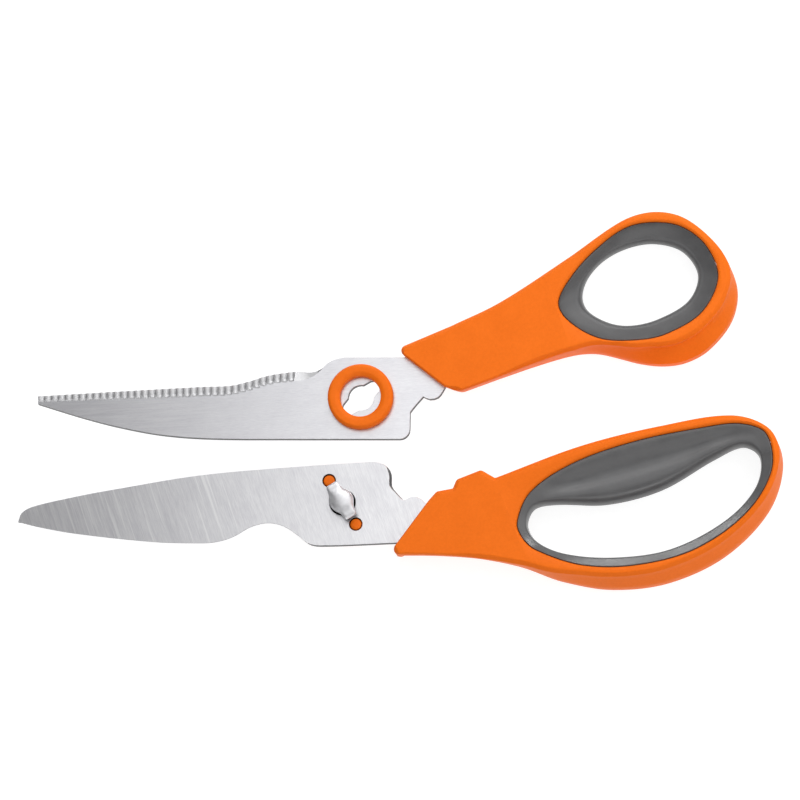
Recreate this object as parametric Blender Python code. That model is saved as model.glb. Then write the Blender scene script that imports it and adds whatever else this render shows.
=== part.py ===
"""Take-apart poultry shears, 254 mm long, lying on a table as two separate halves.

The knife half lies inner face up: its bayonet stud stands out of the blade.  The serrated half
lies beside it, outer face up: the stud's T-shaped head goes through its keyhole and turns inside
the orange pivot ring.

Frame: +X from the blades to the handles, +Y across, +Z up.  The origin is on the stud's axis,
at the table, which is the centre of the pivot cap's flat outer face.
Outlines and sizes are in millimetres; MM turns them into metres when a mesh is made.
"""
import math

import bmesh
import bpy
from mathutils import Vector

MM = 0.001

# Heights above the table
HANDLE_TOP = 14.0
KNIFE_Z = (4.5, 7.0)            # underside and inner face of the knife blade
BLADE_GAP = 0.3
BLADE_THICK = KNIFE_Z[1] - KNIFE_Z[0]
SERRATED_Z = (KNIFE_Z[1] + BLADE_GAP, KNIFE_Z[1] + BLADE_GAP + BLADE_THICK)
FIT_GAP = 0.3                   # between pieces that touch

# Where the serrated half lies: its keyhole's centre, from the stud's axis
LAYOUT = Vector((6.2, 34.9))

# Pivot
STUD_R = 4.0
STUD_HOLE_R = 4.4
HEAD_ANGLE = 121.5              # degrees, long axis of the T-shaped head
HEAD_LENGTH = 12.8
HEAD_WIDTH = 4.3
HEAD_EAR_THICK = 1.5
HEAD_DOME_RISE = 2.5
FLANGE_R = 5.6
FLANGE_Z = (2.2, 3.1)
WASHER_R = (4.25, 5.7)
WASHER_Z = (3.4, 4.2)
CAP_R = 11.0
CAP_TOP = KNIFE_Z[0] - FIT_GAP
CAP_RECESS_R = 6.2
CAP_FLOOR = 1.3
CAP_PEG_R = 1.95
CAP_PEG_HOLE_R = 2.25
CAP_PEG_OFFSET = 8.7            # each side of the stud, along the head's long axis
KEYHOLE_R = 4.35
KEYHOLE_ANGLE = 41.0            # lines up with the head when the blades are 76 degrees open
KEYHOLE_LENGTH = 15.0           # its round ends lie hidden under the ring
KEYHOLE_WIDTH = 4.9
RING_R = (6.85, 10.95)
RING_Z = (SERRATED_Z[1] + FIT_GAP, 13.4)
RING_PEG_R = 1.3
RING_PEG_HOLE_R = 1.6
RING_PEG_OFFSET = 8.9           # across the keyhole's slot, under the ring

# Blades
EDGE_LAND = 0.4                 # thickness left at a ground edge
KNIFE_BEVEL = 4.0
SERRATED_BEVEL = 2.6
TOOTH_PITCH = 2.33
TOOTH_COUNT = 37
TOOTH_R = 1.1
TOOTH_LENGTH = 3.1
TOOTH_END_X = -23.4
TANG_HOLE_R = 2.0
TANG_POST_R = TANG_HOLE_R - FIT_GAP
KNIFE_TANG_HOLES = [(38.3, -7.3), (47.3, -7.4)]
SERRATED_TANG_HOLES = [(37.6, 14.5), (47.1, 18.9)]

# Handle flanks: how far the top edge stands in from the widest line, and the hollow under the
# knife handle's upper edge that the other handle's flared side fits under when closed
KNIFE_FLARE = 2.6
SERRATED_FLARE = 5.0
NEST_DEPTH = 3.6
RIB_HEIGHT = 1.0

# Outlines run counter-clockwise.  A point with a third value is a sharp corner; the curve
# runs smoothly through all the others.
KNIFE_BLADE = [
    (-109.0, -5.6, 1), (-102.1, -7.4), (-89.3, -9.8), (-63.5, -12.8), (-48.7, -13.4),
    (-42.3, -13.1), (-36.6, -11.4), (-30.6, -8.1), (-25.0, -6.8), (-19.8, -7.9),
    (-14.7, -11.2), (-11.6, -13.7), (-7.5, -14.6), (18.7, -13.9, 1), (28.3, -13.5, 1),
    (33.8, -11.2), (50.4, -11.1), (52.6, -7.5), (50.3, -3.8), (33.7, -3.3),
    (28.4, -0.9, 1), (26.6, 0.8), (23.7, 1.7), (20.7, 0.5, 1), (17.7, 3.8),
    (16.4, 5.7), (16.2, 9.6), (14.9, 12.1), (11.6, 13.4), (9.0, 13.6, 1),
    (-14.4, 12.3), (-47.7, 9.7), (-76.6, 5.2), (-89.4, 2.9), (-104.4, -0.5), (-107.9, -2.6),
]
KNIFE_HANDLE = [
    (16.9, -18.5, 1), (30.4, -18.2), (44.1, -19.1), (59.2, -22.0), (73.3, -27.0),
    (91.8, -29.6), (109.7, -27.3), (128.0, -18.6), (142.2, -3.8), (146.9, 11.3),
    (143.5, 22.1), (131.1, 27.0), (107.0, 23.7), (80.3, 17.2), (51.7, 6.6, 1),
    (47.0, 9.3, 1), (38.8, 6.1, 1), (37.6, 3.2, 1), (32.1, 2.1, 1), (29.6, -1.0, 1),
]
KNIFE_POCKET = [
    (59.1, -8.5), (61.0, -14.0), (65.6, -18.1), (80.9, -23.3), (98.9, -23.5), (118.7, -18.3),
    (135.7, -6.2), (144.1, 8.3), (142.2, 20.8), (133.5, 24.3), (121.0, 23.1), (98.5, 18.7),
    (77.8, 11.5), (63.6, 1.9),
]
FINGER_HOLE = [
    (62.4, -8.8), (65.6, -14.4), (74.8, -18.6), (91.9, -19.8), (109.9, -16.9), (127.8, -7.2),
    (137.7, 3.3), (139.7, 13.1), (134.1, 17.2), (124.9, 13.4), (107.0, 3.1), (89.0, -1.6),
    (71.0, -1.6), (64.4, -3.1),
]
SERRATED_BLADE = [
    (-108.7, -0.9, 1), (-93.7, -5.7), (-81.5, -9.0), (-66.7, -11.9), (-50.2, -13.3),
    (-20.5, -13.8), (13.0, -14.2, 1), (15.3, -13.2), (16.4, -10.9), (16.5, -5.0, 1), (18.3, -2.7),
    (20.8, 0.2, 1), (23.0, -0.7), (25.9, 0.0), (28.6, 4.1, 1), (35.1, 8.8), (54.5, 17.8),
    (56.5, 22.4), (52.0, 25.1), (33.0, 17.2), (22.0, 13.9), (13.9, 13.6, 1), (-5.9, 13.8, 1),
    (-9.8, 12.5), (-15.8, 8.9), (-22.3, 9.0, 1), (-31.5, 7.9), (-37.9, 6.0), (-44.3, 4.6),
    (-54.0, 4.3), (-82.8, 3.1), (-108.9, 2.0, 1),
]
SERRATED_HANDLE = [
    (12.4, 15.9, 1), (28.5, 4.4, 1), (32.4, 2.9, 1), (46.0, 7.3), (58.2, 11.6),
    (70.5, 14.9), (77.8, 15.3), (84.5, 14.2), (93.0, 12.0), (100.9, 11.2), (108.4, 12.4),
    (115.8, 16.6), (123.2, 26.0), (125.2, 36.3), (121.6, 46.6), (114.3, 55.0), (106.1, 60.3),
    (96.7, 62.0), (86.8, 58.9), (69.0, 46.1), (46.5, 31.3), (30.3, 23.5, 1),
]
SERRATED_POCKET = [
    (66.1, 31.4), (69.0, 25.2), (79.8, 18.7), (92.7, 17.9), (102.5, 19.9), (114.2, 27.1),
    (119.6, 39.0), (115.5, 49.9), (107.0, 56.6), (97.2, 58.1), (88.4, 56.3), (79.3, 49.8),
    (71.3, 41.2),
]
THUMB_HOLE = [
    (73.6, 34.1), (75.7, 29.2), (83.1, 25.1), (90.4, 24.2), (99.3, 26.4), (109.1, 32.4),
    (112.2, 41.1), (107.1, 49.0), (98.0, 51.9), (89.3, 50.8), (81.2, 46.8), (75.6, 40.7),
]

STEEL = ((0.62, 0.63, 0.64, 1), 0.32, 1.0)
BRIGHT_STEEL = ((0.75, 0.76, 0.77, 1), 0.16, 1.0)
SPRING_STEEL = ((0.35, 0.36, 0.38, 1), 0.35, 1.0)
ORANGE = ((0.90, 0.20, 0.015, 1), 0.42, 0.0)
GREY_RUBBER = ((0.07, 0.075, 0.08, 1), 0.75, 0.0)


def clear_scene():
    for item in list(bpy.data.objects):
        bpy.data.objects.remove(item, do_unlink=True)


def ramp(value, low, high):
    """0 below low, 1 above high, a straight rise between."""
    return min(1.0, max(0.0, (value - low) / (high - low)))


def smooth_outline(points, step):
    """Closed curve through the points, with a vertex about every step millimetres."""
    knots = [Vector(point[:2]) for point in points]
    corner = [len(point) == 3 for point in points]
    count = len(knots)
    curve = []
    for i in range(count):
        before, start, end, after = (knots[(i + k) % count] for k in (-1, 0, 1, 2))
        span = (end - start).length
        leave = end - start
        if not corner[i]:
            leave = (end - before) * span / ((end - start).length + (start - before).length)
        arrive = end - start
        if not corner[(i + 1) % count]:
            arrive = (after - start) * span / ((after - end).length + span)
        straight = corner[i] and corner[(i + 1) % count]
        pieces = 1 if straight else max(1, round(span / step))
        for j in range(pieces):
            t = j / pieces
            curve.append(start * (2 * t**3 - 3 * t**2 + 1) + leave * (t**3 - 2 * t**2 + t)
                         + end * (3 * t**2 - 2 * t**3) + arrive * (t**3 - t**2))
    return curve


def even_outline(points, count):
    """The same closed curve, cut into count equal lengths."""
    curve = smooth_outline(points, 1.0)
    lengths = [0.0]
    for i, point in enumerate(curve):
        lengths.append(lengths[-1] + (curve[(i + 1) % len(curve)] - point).length)
    result = []
    i = 0
    for k in range(count):
        target = lengths[-1] * k / count
        while lengths[i + 1] < target:
            i += 1
        share = (target - lengths[i]) / (lengths[i + 1] - lengths[i])
        result.append(curve[i].lerp(curve[(i + 1) % len(curve)], share))
    return result


def outward_normals(curve):
    """Unit vectors square to a counter-clockwise closed curve, at each of its points."""
    normals = []
    for i, point in enumerate(curve):
        back = (point - curve[i - 1]).normalized()
        ahead = (curve[(i + 1) % len(curve)] - point).normalized()
        normals.append(Vector(((back + ahead).y, -(back + ahead).x)).normalized())
    return normals


def section(curve, z, inset=0.0, shaping=None):
    """The curve at height z, moved in by inset, then by shaping(point, normal, z)."""
    loop = []
    for point, normal in zip(curve, outward_normals(curve)):
        moved = point - normal * inset
        if shaping:
            moved = moved + shaping(point, normal, z)
        loop.append((moved.x, moved.y, z))
    return loop


def new_object(name, mesh_data, look, offset=(0.0, 0.0)):
    """Object from a bmesh in millimetres, moved by offset in the table's plane."""
    bmesh.ops.recalc_face_normals(mesh_data, faces=mesh_data.faces)
    for vertex in mesh_data.verts:
        vertex.co = vertex.co * MM
    mesh = bpy.data.meshes.new(name)
    mesh_data.to_mesh(mesh)
    mesh_data.free()
    item = bpy.data.objects.new(name, mesh)
    item.location = (offset[0] * MM, offset[1] * MM, 0.0)
    bpy.context.collection.objects.link(item)
    if look:
        mesh.materials.append(make_material(name, look))
        mesh.shade_smooth()
        mesh.set_sharp_from_angle(angle=math.radians(35))
    else:
        item.hide_render = True
        item.display_type = 'WIRE'
    return item


def make_material(name, look):
    colour, roughness, metallic = look
    material = bpy.data.materials.new(name)
    material.use_nodes = True
    shader = material.node_tree.nodes["Principled BSDF"]
    shader.inputs["Base Color"].default_value = colour
    shader.inputs["Roughness"].default_value = roughness
    shader.inputs["Metallic"].default_value = metallic
    return material


def loft(name, loops, look=None, offset=(0.0, 0.0), ring=False):
    """Skin a stack of loops; a ring's last loop joins its first, others get flat ends."""
    shape = bmesh.new()
    rows = [[shape.verts.new(point) for point in loop] for loop in loops]
    pairs = list(zip(rows, rows[1:]))
    if ring:
        pairs.append((rows[-1], rows[0]))
    else:
        shape.faces.new(list(reversed(rows[0])))
        shape.faces.new(rows[-1])
    for lower, upper in pairs:
        for i in range(len(lower)):
            j = (i + 1) % len(lower)
            shape.faces.new((lower[i], lower[j], upper[j], upper[i]))
    return new_object(name, shape, look, offset)


def turned(name, profile, look=None, offset=(0.0, 0.0), sides=32, ring=False):
    """Turn a profile of (radius, height) points about the vertical axis."""
    loops = []
    for radius, height in profile:
        angles = [2 * math.pi * i / sides for i in range(sides)]
        loops.append([(radius * math.cos(a), radius * math.sin(a), height) for a in angles])
    return loft(name, loops, look, offset, ring)


def post(name, centre, radius, z_range, sides=16):
    """Upright cylinder for joining on or cutting away, at centre in the table's plane."""
    return turned(name, [(radius, z_range[0]), (radius, z_range[1])], offset=centre, sides=sides)


def rounded_bar(name, length, width, angle, z_range, offset=(0.0, 0.0)):
    """Upright bar with round ends, its long axis at angle in degrees."""
    half = (length - width) / 2
    loop = []
    for side in (0, 1):
        for step in range(9):
            a = math.pi * (side + step / 8) - math.pi / 2
            centre = half if side == 0 else -half
            loop.append(Vector((centre + width / 2 * math.cos(a), width / 2 * math.sin(a))))
    turn = math.radians(angle)
    spun = [(p.x * math.cos(turn) - p.y * math.sin(turn),
             p.x * math.sin(turn) + p.y * math.cos(turn)) for p in loop]
    return loft(name, [[(x, y, z) for x, y in spun] for z in z_range], offset=offset)


def combine(item, other, operation):
    """Boolean with another object that is then left out of the model."""
    modifier = item.modifiers.new(other.name, 'BOOLEAN')
    modifier.operation = operation
    modifier.solver = 'EXACT'
    modifier.object = other


def along(angle, distance):
    turn = math.radians(angle)
    return Vector((math.cos(turn), math.sin(turn))) * distance


# ---- blades ----------------------------------------------------------------------------------

def knife_grind(point, normal, z):
    """Bevel on the underside along the cutting edge, from the tip to the bone notch."""
    share = ramp(-normal.y, 0.3, 0.8) * ramp(-point.x, 36.0, 46.0)
    depth = KNIFE_BEVEL * share * ramp(KNIFE_Z[1] - EDGE_LAND - z, 0.0, BLADE_THICK - EDGE_LAND)
    return Vector((0.0, depth))


def serrated_grind(point, normal, z):
    """Bevel on the outer face along the serrated edge and the smooth hollow behind it."""
    share = ramp(normal.y, 0.3, 0.8) * ramp(-point.x, 5.0, 12.0)
    depth = SERRATED_BEVEL * share * ramp(z - SERRATED_Z[0] - EDGE_LAND, 0.0, BLADE_THICK - EDGE_LAND)
    return Vector((0.0, -depth))


def make_knife_blade():
    curve = smooth_outline(KNIFE_BLADE, 4.0)
    levels = (KNIFE_Z[0], KNIFE_Z[1] - EDGE_LAND, KNIFE_Z[1])
    blade = loft("knife_blade", [section(curve, z, shaping=knife_grind) for z in levels], STEEL)
    through = (KNIFE_Z[0] - 1, KNIFE_Z[1] + 1)
    combine(blade, post("cut_stud_hole", (0, 0), STUD_HOLE_R, through, sides=32), 'DIFFERENCE')
    for i, side in enumerate((-1, 1)):
        centre = along(HEAD_ANGLE, CAP_PEG_OFFSET * side)
        combine(blade, post(f"cut_cap_peg_{i}", centre, CAP_PEG_HOLE_R, through, 20), 'DIFFERENCE')
    for i, centre in enumerate(KNIFE_TANG_HOLES):
        combine(blade, post(f"cut_knife_tang_{i}", centre, TANG_HOLE_R, through), 'DIFFERENCE')


def make_flute_cutter():
    """Slanting rods, one for each tooth: each ploughs a groove that runs out at the edge."""
    slope = math.atan2(BLADE_THICK - EDGE_LAND, TOOTH_LENGTH)
    sides = 10
    reach = 6.0
    edge = [p for p in smooth_outline(SERRATED_BLADE, 1.0) if p.y > 0 and p.x < TOOTH_END_X + 3]
    shape = bmesh.new()
    for tooth in range(TOOTH_COUNT):
        x = TOOTH_END_X - TOOTH_PITCH * tooth
        y = min(edge, key=lambda p: abs(p.x - x)).y
        up = Vector((0, -math.cos(slope), math.sin(slope)))
        across = Vector((1, 0, 0))
        lift = across.cross(up) * -1
        start = Vector((x, y - TOOTH_LENGTH, SERRATED_Z[1])) + lift * TOOTH_R - up * (reach + 1)
        rows = []
        for end in (start, start + up * (2 * reach)):
            ring = []
            for i in range(sides):
                a = 2 * math.pi * i / sides
                ring.append(shape.verts.new(end + (across * math.cos(a) + lift * math.sin(a)) * TOOTH_R))
            rows.append(ring)
        shape.faces.new(list(reversed(rows[0])))
        shape.faces.new(rows[1])
        for i in range(sides):
            j = (i + 1) % sides
            shape.faces.new((rows[0][i], rows[0][j], rows[1][j], rows[1][i]))
    return new_object("cut_flutes", shape, None, LAYOUT)


def make_serrated_blade():
    curve = smooth_outline(SERRATED_BLADE, 4.0)
    levels = (SERRATED_Z[0], SERRATED_Z[0] + EDGE_LAND, SERRATED_Z[1])
    loops = [section(curve, z, shaping=serrated_grind) for z in levels]
    blade = loft("serrated_blade", loops, STEEL, LAYOUT)
    through = (SERRATED_Z[0] - 1, SERRATED_Z[1] + 1)
    combine(blade, make_flute_cutter(), 'DIFFERENCE')
    combine(blade, post("cut_keyhole", LAYOUT, KEYHOLE_R, through, sides=32), 'DIFFERENCE')
    slot = rounded_bar("cut_slot", KEYHOLE_LENGTH, KEYHOLE_WIDTH, KEYHOLE_ANGLE, through, LAYOUT)
    combine(blade, slot, 'DIFFERENCE')
    for i, side in enumerate((-1, 1)):
        centre = LAYOUT + along(KEYHOLE_ANGLE + 90, RING_PEG_OFFSET * side)
        combine(blade, post(f"cut_ring_peg_{i}", centre, RING_PEG_HOLE_R, through), 'DIFFERENCE')
    for i, centre in enumerate(SERRATED_TANG_HOLES):
        place = LAYOUT + Vector(centre)
        combine(blade, post(f"cut_serrated_tang_{i}", place, TANG_HOLE_R, through), 'DIFFERENCE')


# ---- pivot -----------------------------------------------------------------------------------

def make_stud():
    head_z = SERRATED_Z[1] + FIT_GAP
    profile = [(FLANGE_R, FLANGE_Z[0]), (FLANGE_R, FLANGE_Z[1]), (STUD_R, FLANGE_Z[1] + 0.01),
               (STUD_R, head_z + 0.8)]
    for step in range(1, 5):
        a = math.radians(20 * step)
        profile.append((STUD_R * math.cos(a), head_z + 0.8 + (HEAD_DOME_RISE - 0.8) * math.sin(a)))
    stud = turned("pivot_stud", profile, BRIGHT_STEEL)
    ears = rounded_bar("join_ears", HEAD_LENGTH, HEAD_WIDTH, HEAD_ANGLE,
                       (head_z, head_z + HEAD_EAR_THICK))
    combine(stud, ears, 'UNION')


def make_washer():
    inner, outer = WASHER_R
    low, high = WASHER_Z
    thick = 0.45
    profile = [(outer, low), (outer, low + thick), (inner, high), (inner, high - thick)]
    turned("tension_washer", profile, SPRING_STEEL, ring=True)


def make_cap():
    profile = [(CAP_R - 0.8, 0.0), (CAP_R, 0.8), (CAP_R, CAP_TOP - 0.2), (CAP_R - 0.2, CAP_TOP)]
    cap = turned("pivot_cap", profile, ORANGE)
    recess = post("cut_recess", (0, 0), CAP_RECESS_R, (CAP_FLOOR, CAP_TOP + 1), sides=32)
    combine(cap, recess, 'DIFFERENCE')
    for i, side in enumerate((-1, 1)):
        peg = post(f"join_cap_peg_{i}", along(HEAD_ANGLE, CAP_PEG_OFFSET * side), CAP_PEG_R,
                   (CAP_FLOOR + 1, KNIFE_Z[1] - 0.25), sides=20)
        combine(cap, peg, 'UNION')


def make_ring():
    inner, outer = RING_R
    low, high = RING_Z
    profile = [(outer - 0.2, low), (outer, low + 0.4), (outer, high - 1.3), (outer - 0.7, high - 0.4),
               (8.9, high), (7.6, high - 0.4), (inner, high - 1.2), (inner, low)]
    ring = turned("pivot_ring", profile, ORANGE, LAYOUT, sides=40, ring=True)
    for i, side in enumerate((-1, 1)):
        centre = LAYOUT + along(KEYHOLE_ANGLE + 90, RING_PEG_OFFSET * side)
        peg = post(f"join_ring_peg_{i}", centre, RING_PEG_R, (SERRATED_Z[0] + 0.3, low + 1.0))
        combine(ring, peg, 'UNION')


# ---- handles and grips -----------------------------------------------------------------------

def knife_flank(point, normal, z):
    """Side band flared towards the table, and the hollow under the upper edge."""
    facing = max(0.0, normal.dot(Vector((0.33, -0.944))))
    flare = KNIFE_FLARE * facing**2 * ramp(point.x, 58.0, 80.0) * ramp(z, 5.5, 12.0)
    bump = ramp(point.x, 76.0, 92.0) * ramp(-point.x, -122.0, -108.0)
    nest = NEST_DEPTH * bump * ramp(point.y, 8.0, 15.0) * ramp(-z, -10.5, -8.0)
    return -normal * flare + Vector((0.0, -nest))


def serrated_flank(point, normal, z):
    """Wide side band, flared towards the table round the end of the thumb loop."""
    facing = max(0.0, normal.dot(Vector((0.42, -0.907))))
    flare = SERRATED_FLARE * facing * ramp(point.x, 72.0, 96.0) * ramp(z, 5.5, 10.5)
    return -normal * flare


def pocket_flank(shaping):
    """Flank shaping for what lines a loop: only the hollow moves it, not the flare."""
    def moved(point, normal, z):
        if shaping is knife_flank:
            return knife_flank(point, Vector((0.0, 1.0)), z)
        return Vector((0.0, 0.0))
    return moved


def make_handle(name, outline, pocket, shaping, blade_outline, blade_z, posts, offset):
    """Moulded handle: rounded flanks, a loop pocket with a keying rib, and a tang pocket."""
    curve = smooth_outline(outline, 4.5)
    levels = [(0.0, 1.5), (1.4, 0.4), (5.5, 0.0), (8.0, 0.0), (10.5, 0.0), (12.8, 0.3),
              (HANDLE_TOP, 1.3)]
    body = loft(name, [section(curve, z, inset, shaping) for z, inset in levels], ORANGE, offset)
    wall = even_outline(pocket, 56)
    lining = pocket_flank(shaping)
    rib = [(-1.0, 0.0), (4.5, 0.0), (5.5, RIB_HEIGHT), (7.0, RIB_HEIGHT), (8.0, 0.0), (10.5, 0.0),
           (HANDLE_TOP + 1, 0.0)]
    loops = [section(wall, z, inset, lining) for z, inset in rib]
    combine(body, loft(f"cut_{name}_pocket", loops, offset=offset), 'DIFFERENCE')
    tang = smooth_outline(blade_outline, 4.0)
    low, high = blade_z[0] - FIT_GAP, blade_z[1] + FIT_GAP
    loops = [section(tang, z, -FIT_GAP) for z in (low, high)]
    combine(body, loft(f"cut_{name}_tang", loops, offset=offset), 'DIFFERENCE')
    for i, centre in enumerate(posts):
        place = Vector(offset) + Vector(centre)
        combine(body, post(f"join_{name}_post_{i}", place, TANG_POST_R, (low - 1, high + 1)), 'UNION')


def make_grip(name, pocket, hole, shaping, top_scoop, offset):
    """Soft lining of a loop: a groove for the rib outside, a rounded wall round the opening."""
    count = 56
    outer = even_outline(pocket, count)
    inner = even_outline(hole, count)
    lining = pocket_flank(shaping)
    crest = HANDLE_TOP - 0.9
    groove = [(0.4, 0.0), (4.5, 0.0), (5.5, RIB_HEIGHT), (7.0, RIB_HEIGHT), (8.0, 0.0), (10.5, 0.0),
              (crest, 0.0)]
    loops = [section(outer, z, inset + FIT_GAP, lining) for z, inset in groove]
    for z, inset in ((crest - top_scoop, -1.9), (9.5, -0.4), (7.0, 0.0), (4.0, -0.5), (0.4, -2.0)):
        loops.append(section(inner, z, inset))
    loft(name, loops, GREY_RUBBER, offset, ring=True)


clear_scene()
make_knife_blade()
make_stud()
make_washer()
make_cap()
make_handle("knife_handle", KNIFE_HANDLE, KNIFE_POCKET, knife_flank, KNIFE_BLADE, KNIFE_Z,
            KNIFE_TANG_HOLES, (0.0, 0.0))
make_grip("knife_grip", KNIFE_POCKET, FINGER_HOLE, knife_flank, 1.5, (0.0, 0.0))
make_serrated_blade()
make_ring()
make_handle("serrated_handle", SERRATED_HANDLE, SERRATED_POCKET, serrated_flank, SERRATED_BLADE,
            SERRATED_Z, SERRATED_TANG_HOLES, LAYOUT)
make_grip("serrated_grip", SERRATED_POCKET, THUMB_HOLE, serrated_flank, 2.0, LAYOUT)
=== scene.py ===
"""Looks of the take-apart poultry shears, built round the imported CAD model.

Each visible CAD node is replaced by a finer mesh of the same piece: rounded edges, hollow-ground
teeth, dished soft linings.  Outlines are in millimetres, the knife half's from the
stud's axis and the serrated half's from its keyhole; MM turns them into metres.
"""
import math

import bmesh
import bpy
from mathutils import Matrix, Vector


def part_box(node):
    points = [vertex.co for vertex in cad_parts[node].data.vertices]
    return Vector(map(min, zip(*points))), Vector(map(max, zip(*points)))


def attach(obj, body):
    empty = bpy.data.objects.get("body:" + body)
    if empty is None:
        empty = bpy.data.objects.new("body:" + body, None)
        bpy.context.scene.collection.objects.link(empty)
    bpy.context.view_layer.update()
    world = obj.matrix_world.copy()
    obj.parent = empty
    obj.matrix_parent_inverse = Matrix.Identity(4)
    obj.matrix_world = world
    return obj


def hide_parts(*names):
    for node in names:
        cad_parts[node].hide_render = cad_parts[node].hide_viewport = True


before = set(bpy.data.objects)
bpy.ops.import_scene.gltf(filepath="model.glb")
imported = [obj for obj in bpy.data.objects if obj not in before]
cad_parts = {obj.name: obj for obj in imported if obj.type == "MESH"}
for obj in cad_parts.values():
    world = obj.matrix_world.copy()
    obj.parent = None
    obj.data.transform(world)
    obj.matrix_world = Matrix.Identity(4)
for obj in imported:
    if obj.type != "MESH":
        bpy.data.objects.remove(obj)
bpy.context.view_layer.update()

MM = 0.001

# ---- places, all from the frame --------------------------------------------------------------


def height_range(node):
    low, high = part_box(node)
    return low.z / MM, high.z / MM


def middle(node):
    low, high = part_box(node)
    return Vector(((low.x + high.x) / 2 / MM, (low.y + high.y) / 2 / MM))


STUD_AXIS = middle("pivot_cap")
KEYHOLE_AXIS = middle("pivot_ring")
KNIFE_Z = height_range("knife_blade")
SERRATED_Z = height_range("serrated_blade")
HANDLE_TOP = height_range("knife_handle")[1]
RING_TOP = height_range("pivot_ring")[1]
RING_R = (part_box("pivot_ring")[1].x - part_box("pivot_ring")[0].x) / 2 / MM
CAP_R = (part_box("pivot_cap")[1].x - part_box("pivot_cap")[0].x) / 2 / MM
STUD_TOP = height_range("pivot_stud")[1]
GAP = SERRATED_Z[0] - KNIFE_Z[1]

# ---- pivot -----------------------------------------------------------------------------------

STUD_R = 4.1
NECK_R = 3.4
STUD_HOLE_R = 4.4
HEAD_ANGLE = 121.5
HEAD_LENGTH = 13.2
HEAD_WIDTH = 4.6
EAR_HEIGHT = 0.60           # of the dome's height
PEG_OFFSET = 8.7
PEG_R = 1.95
PEG_HOLE_R = 2.25
KEYHOLE_R = 4.35
KEYHOLE_ANGLE = 41.0
KEYHOLE_LENGTH = 15.0
KEYHOLE_WIDTH = 4.9
RING_BORE_R = 6.85

# ---- blades and handles ----------------------------------------------------------------------

EDGE_LAND = 0.35
EDGE_BREAK = 0.08
FACING = (0.3, 0.8)         # a wall starts and ends to count as facing a way at these shares
KNIFE_BEVEL = 4.0
KNIFE_HEEL = (11.5, 15.0)   # the bevel fades in over this stretch, measured back from the stud
KNIFE_TIP = (-107.0, -92.0)
SERRATED_BEVEL = 3.4
SHOULDER_LEAN = 0.7
SERRATED_LAND = 0.9
HOLLOW = (11.7, 21.0)       # likewise the smooth hollow, which then gives way to the teeth
FIRST_TOOTH = (22.6, 24.6)
WALL = 1                    # material index of a blade's stamped walls, painted dark as shade
FLUTE = 2                   # and of the tooth flutes
WALL_TILT = 0.45            # a face whose normal rises less than this is a wall
HOLLOW_TILT = 0.97          # and less than this, part of the ground hollow
TOOTH_PITCH = 2.33
TOOTH_COUNT = 37
TOOTH_R = 1.24
TOOTH_LENGTH = 3.6
TOOTH_SKEW = 0.30           # how far a flute's deepest line sits off its middle
TOOTH_END_X = -23.4
SHORT_TEETH = (-107.0, -60.0)
KNIFE_FLARE = 2.6
SERRATED_FLARE = 5.0
NEST_DEPTH = 3.6
DRAFT = 0.165
CRISP = 0.95
RIM_FOOT = 13.1             # height at which the soft linings meet the orange rim
PAD_DISH = 0.45             # lowest line and crest of the finger pad, as shares of its width
PAD_CREST = 0.68
PAD_LOW = 9.8
PAD_HIGH = 10.9

# Outlines run counter-clockwise.  A point with a third value is a corner, rounded to that
# radius; the curve runs smoothly through all the others.
KNIFE_BLADE = [
    (-109.0, -5.6, 0), (-102.1, -7.4), (-89.3, -9.8), (-63.5, -12.8), (-48.7, -13.4),
    (-42.3, -13.1), (-36.6, -11.4), (-30.6, -8.1), (-25.0, -6.8), (-19.8, -7.9),
    (-14.7, -11.2), (-11.6, -13.7), (-7.5, -14.6), (18.7, -13.9, 0), (28.3, -13.5, 0),
    (33.8, -11.2), (50.4, -11.1), (52.6, -7.5), (50.3, -3.8), (33.7, -3.3),
    (28.4, -0.9, 0), (26.6, 0.8), (23.7, 1.7), (20.7, 0.5, 0), (17.7, 3.8),
    (16.4, 5.7), (16.2, 9.6), (14.9, 12.1), (11.6, 13.4), (9.0, 13.6, 0),
    (-14.4, 12.3), (-47.7, 9.7), (-76.6, 5.2), (-89.4, 2.9), (-104.4, -0.5), (-107.9, -2.6),
]
KNIFE_HANDLE = [
    (16.3, -19.0, 1.8), (30.4, -19.2), (44.1, -20.2), (59.2, -22.7), (73.3, -27.2),
    (91.8, -29.6), (109.7, -27.3), (128.0, -18.6), (142.2, -3.8), (146.9, 11.3),
    (143.5, 22.1), (131.1, 27.0), (107.0, 23.7), (80.3, 17.2), (51.7, 6.6, 1.0),
    (47.0, 9.4, 1.8), (38.8, 6.2, 1.8), (37.6, 3.2, 0.6), (32.1, 2.2, 1.8), (29.5, -1.0, 1.8),
]
KNIFE_POCKET = [
    (59.1, -8.5), (61.0, -14.0), (65.6, -18.1), (80.9, -23.3), (98.9, -23.5), (118.7, -18.3),
    (135.7, -6.2), (144.1, 8.3), (142.2, 20.8), (133.5, 24.3), (121.0, 23.1), (98.5, 18.7),
    (77.8, 11.5), (63.6, 1.9),
]
FINGER_HOLE = [
    (62.4, -8.8), (65.6, -14.4), (74.8, -18.6), (91.9, -20.0), (110.2, -17.4), (128.3, -8.0),
    (138.2, 2.8), (139.7, 13.1), (134.1, 17.2), (124.9, 13.4), (107.0, 3.1), (89.0, -1.6),
    (71.0, -1.6), (64.4, -3.1),
]
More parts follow.
